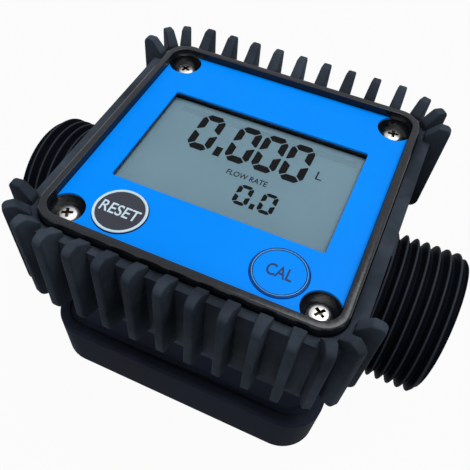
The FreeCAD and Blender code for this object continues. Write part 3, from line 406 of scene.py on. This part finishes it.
# Circuit board and its screws.
# A glass-epoxy board under green solder mask, whose weave and copper runs show faintly through. Four
# small zinc plated screws hold it on the tray's posts.
board_green, tree, shader = new_material("green_solder_mask")
link = tree.links.new
place = node(tree, "TexCoord").outputs["Object"]
runs = node(tree, "TexBrick", {"Scale": 170.0, "Mortar Size": 0.05, "Mortar Smooth": 0.3,
                               "Color1": (0.006, 0.075, 0.03, 1), "Color2": (0.008, 0.09, 0.036, 1),
                               "Mortar": (0.012, 0.14, 0.05, 1), "Brick Width": 0.9, "Row Height": 0.3})
weave = node(tree, "TexNoise", {"Scale": 2600.0, "Detail": 2.0})
link(place, runs.inputs["Vector"])
link(place, weave.inputs["Vector"])
link(runs.outputs["Color"], shader.inputs["Base Color"])
sheen = node(tree, "MapRange", {"To Min": 0.2, "To Max": 0.4})
link(weave.outputs["Fac"], sheen.inputs["Value"])
link(sheen.outputs["Result"], shader.inputs["Roughness"])
TRACK_HEIGHT = 0.02
raised = node(tree, "Bump", {"Strength": 1.0, "Distance": TRACK_HEIGHT * MM})
link(runs.outputs["Fac"], raised.inputs["Height"])
link(raised.outputs[0], shader.inputs["Normal"])
dress("circuit_board", board_green)
zinc = detailed("bright_zinc", (0.54, 0.535, 0.52), 0.34, grain=0.12, grain_depth=0.003, drift=0.1,
                shade=0.1, Metallic=1.0)
dress("board_screws", zinc)

# Display and its connectors.
# A grey liquid crystal cell, pressed on two striped elastomer strips that carry its lines up from the
# board. Its figures are flat seven-segment ones: 0.000 with the unit letter, and 0.0 for the rate.
display_grey = detailed("display_cell", (0.235, 0.38, 0.465), 0.4, grain=0.6, grain_depth=0.001,
                        drift=0.05, shade=0.03, Specular_IOR_Level=0.1)
dress("lcd_display", display_grey)
dress("lcd_connectors", detailed("striped_elastomer", (0.06, 0.05, 0.045), 0.6, grain=0.18,
                                 grain_depth=0.01, drift=0.08, shade=0.3, streaks=(1, 0.02, 0.02)))
GLASS_TOP = 48.4
INK = 0.02  # how thick the figures are, in millimetres
# the upper half of a nought: its top segment and its upper left one, from the figure's middle
TOP_SEGMENT = [(-1.3, 5.8), (-2.0, 4.95), (-1.0, 3.95), (1.0, 3.95), (2.0, 4.95), (1.3, 5.8)]
LEFT_SEGMENT = [(-2.73, 4.0), (-2.73, 0.5), (-2.45, 0.32), (-1.15, 1.3), (-1.15, 3.75), (-2.25, 4.72)]
DOT = [(-0.76, 1.43), (-0.76, -1.43), (0.76, -1.43), (0.76, 1.43)]
BIG_NOUGHTS = (-11.41, -2.64, 3.46, 9.59)
BIG_MIDDLE = 7.46
SMALL_NOUGHTS = (2.93, 8.25)
SMALL_MIDDLE = -6.09
SMALL_SCALE = (0.605, 0.4835)
BIG_DOT_AT = (-6.86, 3.1)
SMALL_DOT_AT = (5.6, -8.13)
SMALL_DOT_SCALE = (0.64, 0.51)


def flat_patch(corners, height, thick):
    """A thin flat piece with the given outline, in millimetres, lying at a height."""
    bpy.ops.object.select_all(action="DESELECT")
    bpy.ops.mesh.primitive_circle_add(vertices=len(corners), radius=MM, fill_type="NGON")
    patch = bpy.context.object
    for corner, (x, y) in zip(patch.data.vertices, corners):
        corner.co = (x * MM, y * MM, height * MM)
    edit(patch)
    bpy.ops.mesh.select_all(action="SELECT")
    bpy.ops.mesh.normals_make_consistent(inside=False)
    bpy.ops.mesh.extrude_region_move(TRANSFORM_OT_translate={"value": (0, 0, thick * MM)})
    close_up(patch)
    return patch


def join_pieces(pieces, name):
    """Make one piece of several."""
    pick_alone(pieces[0])
    for piece in pieces[1:]:
        piece.select_set(True)
    bpy.ops.object.join()
    pieces[0].name = name
    return pieces[0]


def copy_of(piece, turn):
    """A copy with its own mesh, put elsewhere by a matrix."""
    twin = bpy.data.objects.new(piece.name, piece.data.copy())
    bpy.context.scene.collection.objects.link(twin)
    twin.data.transform(turn)
    if turn.determinant() < 0:
        twin.data.flip_normals()
    return twin


def word(text, width, height, middle, level, thick, heavy=0.0):
    """Plain lettering made a mesh, fitted to a width and height and laid at a level, in millimetres."""
    bpy.ops.object.select_all(action="DESELECT")
    bpy.ops.object.text_add(location=(0, 0, 0))
    letters = bpy.context.object
    letters.data.body = text
    letters.data.size = 1.0
    letters.data.extrude = 0.5
    letters.data.offset = heavy
    letters.data.resolution_u = 4
    pick_alone(letters)
    bpy.ops.object.convert(target="MESH")
    letters = bpy.context.object
    corners = [corner.co for corner in letters.data.vertices]
    low = [min(corner[axis] for corner in corners) for axis in range(3)]
    high = [max(corner[axis] for corner in corners) for axis in range(3)]
    grow = [size * MM / (high[axis] - low[axis]) for axis, size in enumerate((width, height, thick))]
    goal = (middle[0] * MM, middle[1] * MM, (level + thick / 2) * MM)
    centre = [(first + last) / 2 for first, last in zip(low, high)]
    for corner in letters.data.vertices:
        corner.co = [goal[axis] + (corner.co[axis] - centre[axis]) * grow[axis] for axis in range(3)]
    close_up(letters)
    return letters


quarter = [flat_patch(TOP_SEGMENT, GLASS_TOP, INK), flat_patch(LEFT_SEGMENT, GLASS_TOP, INK)]
quarter.append(copy_of(quarter[1], Matrix.Diagonal((-1, 1, 1, 1))))
upper = join_pieces(quarter, "upper_segments")
nought = join_pieces([upper, copy_of(upper, Matrix.Diagonal((1, -1, 1, 1)))], "nought")
dot = flat_patch(DOT, GLASS_TOP, INK)


def printed_at(shape, x, y, scale=(1, 1)):
    """A copy of a flat figure, made smaller and set at a place on the glass, in millimetres."""
    return copy_of(shape, Matrix.Translation((x * MM, y * MM, 0)) @ Matrix.Diagonal((*scale, 1, 1)))


figures = [printed_at(nought, x, BIG_MIDDLE) for x in BIG_NOUGHTS]
figures += [printed_at(nought, x, SMALL_MIDDLE, SMALL_SCALE) for x in SMALL_NOUGHTS]
figures.append(printed_at(dot, *BIG_DOT_AT))
figures.append(printed_at(dot, *SMALL_DOT_AT, SMALL_DOT_SCALE))
figures.append(word("L", 1.35, 2.4, (15.06, 5.93), GLASS_TOP, INK))
figures.append(word("FLOW RATE", 8.9, 1.5, (1.73, -1.28), GLASS_TOP, INK, 0.01))
for piece in (nought, dot):
    bpy.data.objects.remove(piece)
figures = join_pieces(figures, "display_figures")
figures.data.materials.clear()
figures.data.materials.append(detailed("display_ink", (0.0012, 0.0014, 0.0016), 0.5, grain=0.3,
                                       grain_depth=0.001, drift=0.1, shade=0.2, Specular_IOR_Level=0.05))
done(figures, 20)
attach(figures, "housing")

# Cover gasket.
# A black elastomer ring pressed flat between the cover and the tray's wall.
dress("cover_gasket", detailed("soft_seal", (0.02, 0.02, 0.021), 0.7, grain=0.2, grain_depth=0.01,
                               drift=0.1, shade=0.2, Specular_IOR_Level=0.2))

# Top cover.
# A glossy black moulding screwed down on the body. Its raised rim frames the label, with its edges
# eased all round, and a deep round pit takes each screw.
COVER_EASE = 0.16
RIM_FROM = 49.5
SHARP_EDGE = math.radians(32)
cover = merged_copy("top_cover", "rimmed_cover")
edit(cover)
bpy.ops.mesh.select_mode(type="EDGE")
bpy.ops.mesh.select_all(action="DESELECT")
shape = bmesh.from_edit_mesh(cover.data)
for edge in shape.edges:
    high = min(end.co.z for end in edge.verts) > RIM_FROM * MM
    sharp = len(edge.link_faces) == 2 and edge.calc_face_angle(0) > SHARP_EDGE
    edge.select_set(high and sharp)
bmesh.update_edit_mesh(cover.data)
bpy.ops.mesh.bevel(offset=COVER_EASE * MM, segments=3, clamp_overlap=False)
done(cover, 40)
gloss = detailed("glossy_black_cover", (0.0095, 0.012, 0.0165), 0.19, grain=0.7, grain_depth=0.012,
                 drift=0.12, shade=0.3, Specular_IOR_Level=0.26)
finish_piece(cover, gloss, "top_cover")

# Display window.
# A clear acrylic pane with a thin flange, welded into the cover from below and nearly flush with the
# label.
clear, tree, shader = new_material("clear_acrylic")
shader.inputs["Base Color"].default_value = (0.12, 0.16, 0.19, 1)
shader.inputs["Alpha"].default_value = 0.012
shader.inputs["Specular IOR Level"].default_value = 0.3
haze = node(tree, "TexNoise", {"Scale": 120.0, "Detail": 4.0})
haze_range = node(tree, "MapRange", {"To Min": 0.02, "To Max": 0.1})
tree.links.new(node(tree, "TexCoord").outputs["Object"], haze.inputs["Vector"])
tree.links.new(haze.outputs["Fac"], haze_range.inputs["Value"])
tree.links.new(haze_range.outputs["Result"], shader.inputs["Roughness"])
dress("lcd_window", clear)

# Face label.
# A printed polyester overlay in one bright blue, laid in the cover's face and cut out round the
# screws, the display and the keys. Its names and marks are left off.
LABEL_BLUE = (0.0, 0.245, 0.93)
label_blue = detailed("satin_blue_overlay", LABEL_BLUE, 0.42, grain=0.22, grain_depth=0.005,
                      drift=0.06, shade=0.04, Specular_IOR_Level=0.04)
dress("face_label", label_blue)

# Reset key and calibration key.
# Round keys embossed in the overlay, each over its switch. The reset key is printed dark grey with a
# raised white ring and its word in white. The other has two dark rings with a fine pale one between.
KEY_TOP = 50.25
PRINT_SUNK = 0.01
PRINT_THICK = 0.04
LETTER_HEIGHT = 2.7
RESET_AT = (-15.9, -21.9)
CAL_AT = (16.5, -21.75)


def raised_ring(middle, radius, half_width, rise):
    """A low half-round ring that stands on a key, in millimetres."""
    bpy.ops.object.select_all(action="DESELECT")
    bpy.ops.mesh.primitive_torus_add(
        major_segments=96, minor_segments=16, major_radius=radius * MM, minor_radius=half_width * MM,
        location=(middle[0] * MM, middle[1] * MM, KEY_TOP * MM),
    )
    ring = bpy.context.object
    edit(ring)
    bpy.ops.mesh.select_all(action="SELECT")
    bpy.ops.transform.resize(value=(1, 1, rise / half_width))
    return done(ring, 60)


def key_word(text, width, middle, heavy):
    """A key's word, printed on its top."""
    return word(text, width, LETTER_HEIGHT, middle, KEY_TOP - PRINT_SUNK, PRINT_THICK, heavy)


def print_on_key(piece, name, material, body):
    """Finish a print or ring that moves with its key."""
    piece.name = name
    piece.data.materials.clear()
    piece.data.materials.append(material)
    done(piece, 60)
    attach(piece, body)


dress("reset_key", detailed("dark_key_print", (0.042, 0.046, 0.062), 0.5, grain=0.25, grain_depth=0.005,
                            drift=0.06, shade=0.12, Specular_IOR_Level=0.08))
dress("cal_key", label_blue)
print_white = detailed("white_key_print", (0.54, 0.68, 0.78), 0.4, grain=0.15, grain_depth=0.003,
                       drift=0.06, shade=0.06, Specular_IOR_Level=0.3)
print_on_key(raised_ring(RESET_AT, 5.1, 0.29, 0.12), "reset_ring", print_white, "reset_button")
print_on_key(key_word("RESET", 8.1, RESET_AT, 0.01), "reset_word", print_white, "reset_button")
print_navy = detailed("navy_key_print", (0.001, 0.022, 0.095), 0.42, grain=0.15, grain_depth=0.003,
                      drift=0.06, shade=0.08, Specular_IOR_Level=0.2)
print_pale = detailed("pale_key_print", (0.06, 0.42, 0.95), 0.38, grain=0.15, grain_depth=0.003,
                      drift=0.06, shade=0.05, Specular_IOR_Level=0.2)
for name, radius, half_width, rise, finish in (
    ("cal_outer_ring", 5.28, 0.14, 0.06, print_navy),
    ("cal_pale_ring", 5.06, 0.09, 0.09, print_pale),
    ("cal_inner_ring", 4.88, 0.1, 0.05, print_navy),
):
    print_on_key(raised_ring(CAL_AT, radius, half_width, rise), name, finish, "cal_button")
print_on_key(key_word("CAL", 5.0, CAL_AT, 0.015), "cal_word", print_navy, "cal_button")

# Cover screws.
# Four bright zinc plated pan head screws with a cross recess, driven down into the body's corner
# bosses at the bottom of the cover's pits. The faces of the recess are given a dark brown finish.
SCREW_AT = 25.6
HEAD_TOP = 48.7
PAN_HEAD = [(0, HEAD_TOP), (0.8, 48.69), (1.5, 48.62), (1.9, 48.46), (2.15, 48.2), (2.3, 47.85),
            (2.36, 47.5), (2.36, 47.1), (1.5, 47.1), (1.5, 35.0), (1.2, 34.3), (0, 33.95)]
HEAD_DEPTH = 2.0
SPIN_STEPS = 64
# a driver's wing narrows towards its tip in length and in width, and starts clear of the head
TIP_LENGTH, TIP_WIDTH = 0.55, 0.75
CLEAR_OF_HEAD = 0.6
TIP_RADIUS = 0.15


def turned(profile, name):
    """A solid turned round the upright axis from a profile of radius and height, in millimetres."""
    bpy.ops.object.select_all(action="DESELECT")
    bpy.ops.mesh.primitive_circle_add(vertices=len(profile), radius=MM, fill_type="NGON")
    solid = bpy.context.object
    for corner, (radius, height) in zip(solid.data.vertices, profile):
        corner.co = (radius * MM, 0, height * MM)
    edit(solid)
    bpy.ops.mesh.select_all(action="SELECT")
    bpy.ops.mesh.delete(type="ONLY_FACE")
    bpy.ops.mesh.select_mode(type="VERT")
    bpy.ops.mesh.select_all(action="SELECT")
    bpy.ops.mesh.spin(steps=SPIN_STEPS, angle=math.tau, center=(0, 0, 0), axis=(0, 0, 1))
    close_up(solid)
    solid.name = name
    return solid


def cross_recess(solid, top, deep, reach, half_width, middle_r):
    """Sink a tapered cross and a round middle into a screw head, from above or, where deep is
    negative, from below."""
    down = -1 if deep > 0 else 1
    blades = []
    for turn in (0, math.pi / 2):
        bpy.ops.object.select_all(action="DESELECT")
        bpy.ops.mesh.primitive_cube_add(size=2 * MM, location=(0, 0, top * MM))
        blade = bpy.context.object
        for corner in blade.data.vertices:
            sunk = corner.co.z * down > 0
            corner.co.x *= reach * (TIP_LENGTH if sunk else 1.0)
            corner.co.y *= half_width * (TIP_WIDTH if sunk else 1.0)
            corner.co.z = down * abs(deep) * MM if sunk else -down * CLEAR_OF_HEAD * MM
        blade.rotation_euler = (0, 0, turn)
        blades.append(done(blade))
    for blade in blades:
        apply_modifier(solid, "BOOLEAN", operation="DIFFERENCE", object=blade, solver="EXACT")
        bpy.data.objects.remove(blade)
    bpy.ops.object.select_all(action="DESELECT")
    bpy.ops.mesh.primitive_cone_add(vertices=24, radius1=middle_r * MM, radius2=TIP_RADIUS * MM,
                                    depth=abs(deep) * 2.1 * MM, location=(0, 0, top * MM))
    point = bpy.context.object
    if down < 0:
        point.rotation_euler = (math.pi, 0, 0)
    done(point)
    apply_modifier(solid, "BOOLEAN", operation="DIFFERENCE", object=point, solver="EXACT")
    bpy.data.objects.remove(point)


def recess_darker(solid, bright, dark, inside, top, flat):
    """Two finishes on a screw: the faces of the recess, which lie inside a radius and away from the
    head's flat, are dark."""
    solid.data.materials.clear()
    solid.data.materials.append(bright)
    solid.data.materials.append(dark)
    for face in solid.data.polygons:
        middle = face.center
        near = math.hypot(middle.x, middle.y) < inside * MM
        steep = abs(middle.z - top * MM) > flat * MM
        shank = abs(middle.z - top * MM) > HEAD_DEPTH * MM
        face.material_index = 1 if near and steep and not shank else 0


def fastened(screw, name, spots):
    """Copies of one screw made one piece; spots gives each one's place and how far it is turned."""
    placed = []
    for x, y, turn in spots:
        place = Matrix.Translation((x * MM, y * MM, 0))
        placed.append(copy_of(screw, place @ Matrix.Rotation(math.radians(turn), 4, "Z")))
    bpy.data.objects.remove(screw)
    return done(join_pieces(placed, name), 30)


# a dark brown finish for the faces of each screw's cross recess
recess_dark = detailed("dark_brown_recess", (0.1, 0.075, 0.055), 0.45, grain=0.1, grain_depth=0.004,
                       drift=0.15, shade=0.3, Metallic=1.0)
pan_screw = turned(PAN_HEAD, "pan_head_screw")
cross_recess(pan_screw, HEAD_TOP, 1.0, 1.4, 0.36, 0.7)
done(pan_screw, 30)
recess_darker(pan_screw, zinc, recess_dark, 1.35, HEAD_TOP, 0.16)
pan_screws = fastened(pan_screw, "pan_head_screws", (
    (-SCREW_AT, -SCREW_AT, 25), (SCREW_AT, -SCREW_AT, 52),
    (SCREW_AT, SCREW_AT, 10), (-SCREW_AT, SCREW_AT, 70),
))
finish_piece(pan_screws, None, "cover_screws")

# Rubber guard.
# A soft moulded sleeve that grips the body's upper half, with a row of fins along the front and back
# and a fan of three at each corner. Its outer edges are rounded as rubber comes out of its mould.
# Seams between the fins keep the flat top of its wall from becoming one hollow face.
GUARD_EASE = 0.28
WALL_TOP = 49.5
FIN_PITCH = 5.94
SIDE_SEAM_PITCH = 10
FLAT_ENOUGH = math.radians(0.6)
LEVEL_WITHIN = 0.05
guard = merged_copy("rubber_guard", "finned_guard")
edit(guard)
seams = [((k * FIN_PITCH - FIN_PITCH / 2) * MM, 0, 0) for k in range(-4, 6)]
seams += [(0, k * SIDE_SEAM_PITCH * MM, 0) for k in range(-2, 3)]
for seam in seams:
    bpy.ops.mesh.select_all(action="SELECT")
    bpy.ops.mesh.bisect(plane_co=seam, plane_no=(1, 0, 0) if seam[0] else (0, 1, 0))
    bpy.ops.mesh.mark_seam()
bpy.ops.mesh.select_all(action="SELECT")
bpy.ops.mesh.dissolve_limited(angle_limit=FLAT_ENOUGH, delimit={"SEAM"})
bpy.ops.mesh.select_mode(type="EDGE")
bpy.ops.mesh.select_all(action="DESELECT")
shape = bmesh.from_edit_mesh(guard.data)
for edge in shape.edges:
    wall_top = all(abs(end.co.z - WALL_TOP * MM) < LEVEL_WITHIN * MM for end in edge.verts)
    outer = edge.is_convex and edge.calc_face_angle(0) > SHARP_EDGE
    edge.select_set(outer and not wall_top)
bmesh.update_edit_mesh(guard.data)
bpy.ops.mesh.bevel(offset=GUARD_EASE * MM, segments=2, clamp_overlap=False, miter_outer="ARC")
done(guard, 40)
rubber = detailed("charcoal_rubber", (0.033, 0.0425, 0.0575), 0.6, grain=0.35, grain_depth=0.02,
                  drift=0.1, shade=0.62, Specular_IOR_Level=0.012)
finish_piece(guard, rubber, "rubber_guard")

# Batteries and contacts.
# Two AAA cells in plain printed sleeves lie head to tail in the base's bays, between nickel plated
# spring steel contacts.
sleeve = detailed("cell_sleeve", (0.22, 0.225, 0.24), 0.28, grain=0.3, grain_depth=0.003, drift=0.1,
                  shade=0.12, streaks=(0.1, 1, 1), Metallic=0.6)
for source in ("front_battery", "rear_battery"):
    dress(source, sleeve)
contact_nickel = detailed("nickel_spring", (0.6, 0.57, 0.5), 0.25, grain=0.1, grain_depth=0.003, drift=0.1,
                          shade=0.15, streaks=(1, 1, 0.1), Metallic=1.0)
for source in ("plate_contacts", "spring_contacts"):
    dress(source, contact_nickel)

# Battery gasket and battery cover.
# A flat black seal under a plain nylon plate, which closes the base flush with its rim.
dress("battery_gasket", detailed("flat_seal", (0.022, 0.022, 0.023), 0.72, grain=0.2, grain_depth=0.01,
                                 drift=0.1, shade=0.2, Specular_IOR_Level=0.2))
dress("battery_cover", detailed("plate_nylon", (0.016, 0.0165, 0.018), 0.48, grain=0.3, grain_depth=0.016,
                                Specular_IOR_Level=0.2))

# Battery cover screws.
# Four zinc plated countersunk screws with a cross recess, sunk just below the plate's face.
SUNK_X, SUNK_Y = 27.9, 13.2
HEAD_FACE = 0.2
SUNK_HEAD = [(0, HEAD_FACE), (2.3, HEAD_FACE), (2.3, 0.26), (1.25, 1.3), (1.25, 10.6), (0.6, 11.4),
             (0, 11.9)]
sunk_screw = turned(SUNK_HEAD, "countersunk_screw")
cross_recess(sunk_screw, HEAD_FACE, -0.8, 1.25, 0.26, 0.5)
done(sunk_screw, 30)
recess_darker(sunk_screw, zinc, recess_dark, 1.2, HEAD_FACE, 0.03)
sunk_screws = fastened(sunk_screw, "countersunk_screws", (
    (-SUNK_X, -SUNK_Y, 15), (SUNK_X, -SUNK_Y, 60), (SUNK_X, SUNK_Y, 40), (-SUNK_X, SUNK_Y, 80),
))
finish_piece(sunk_screws, None, "battery_cover_screws")

low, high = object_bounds()
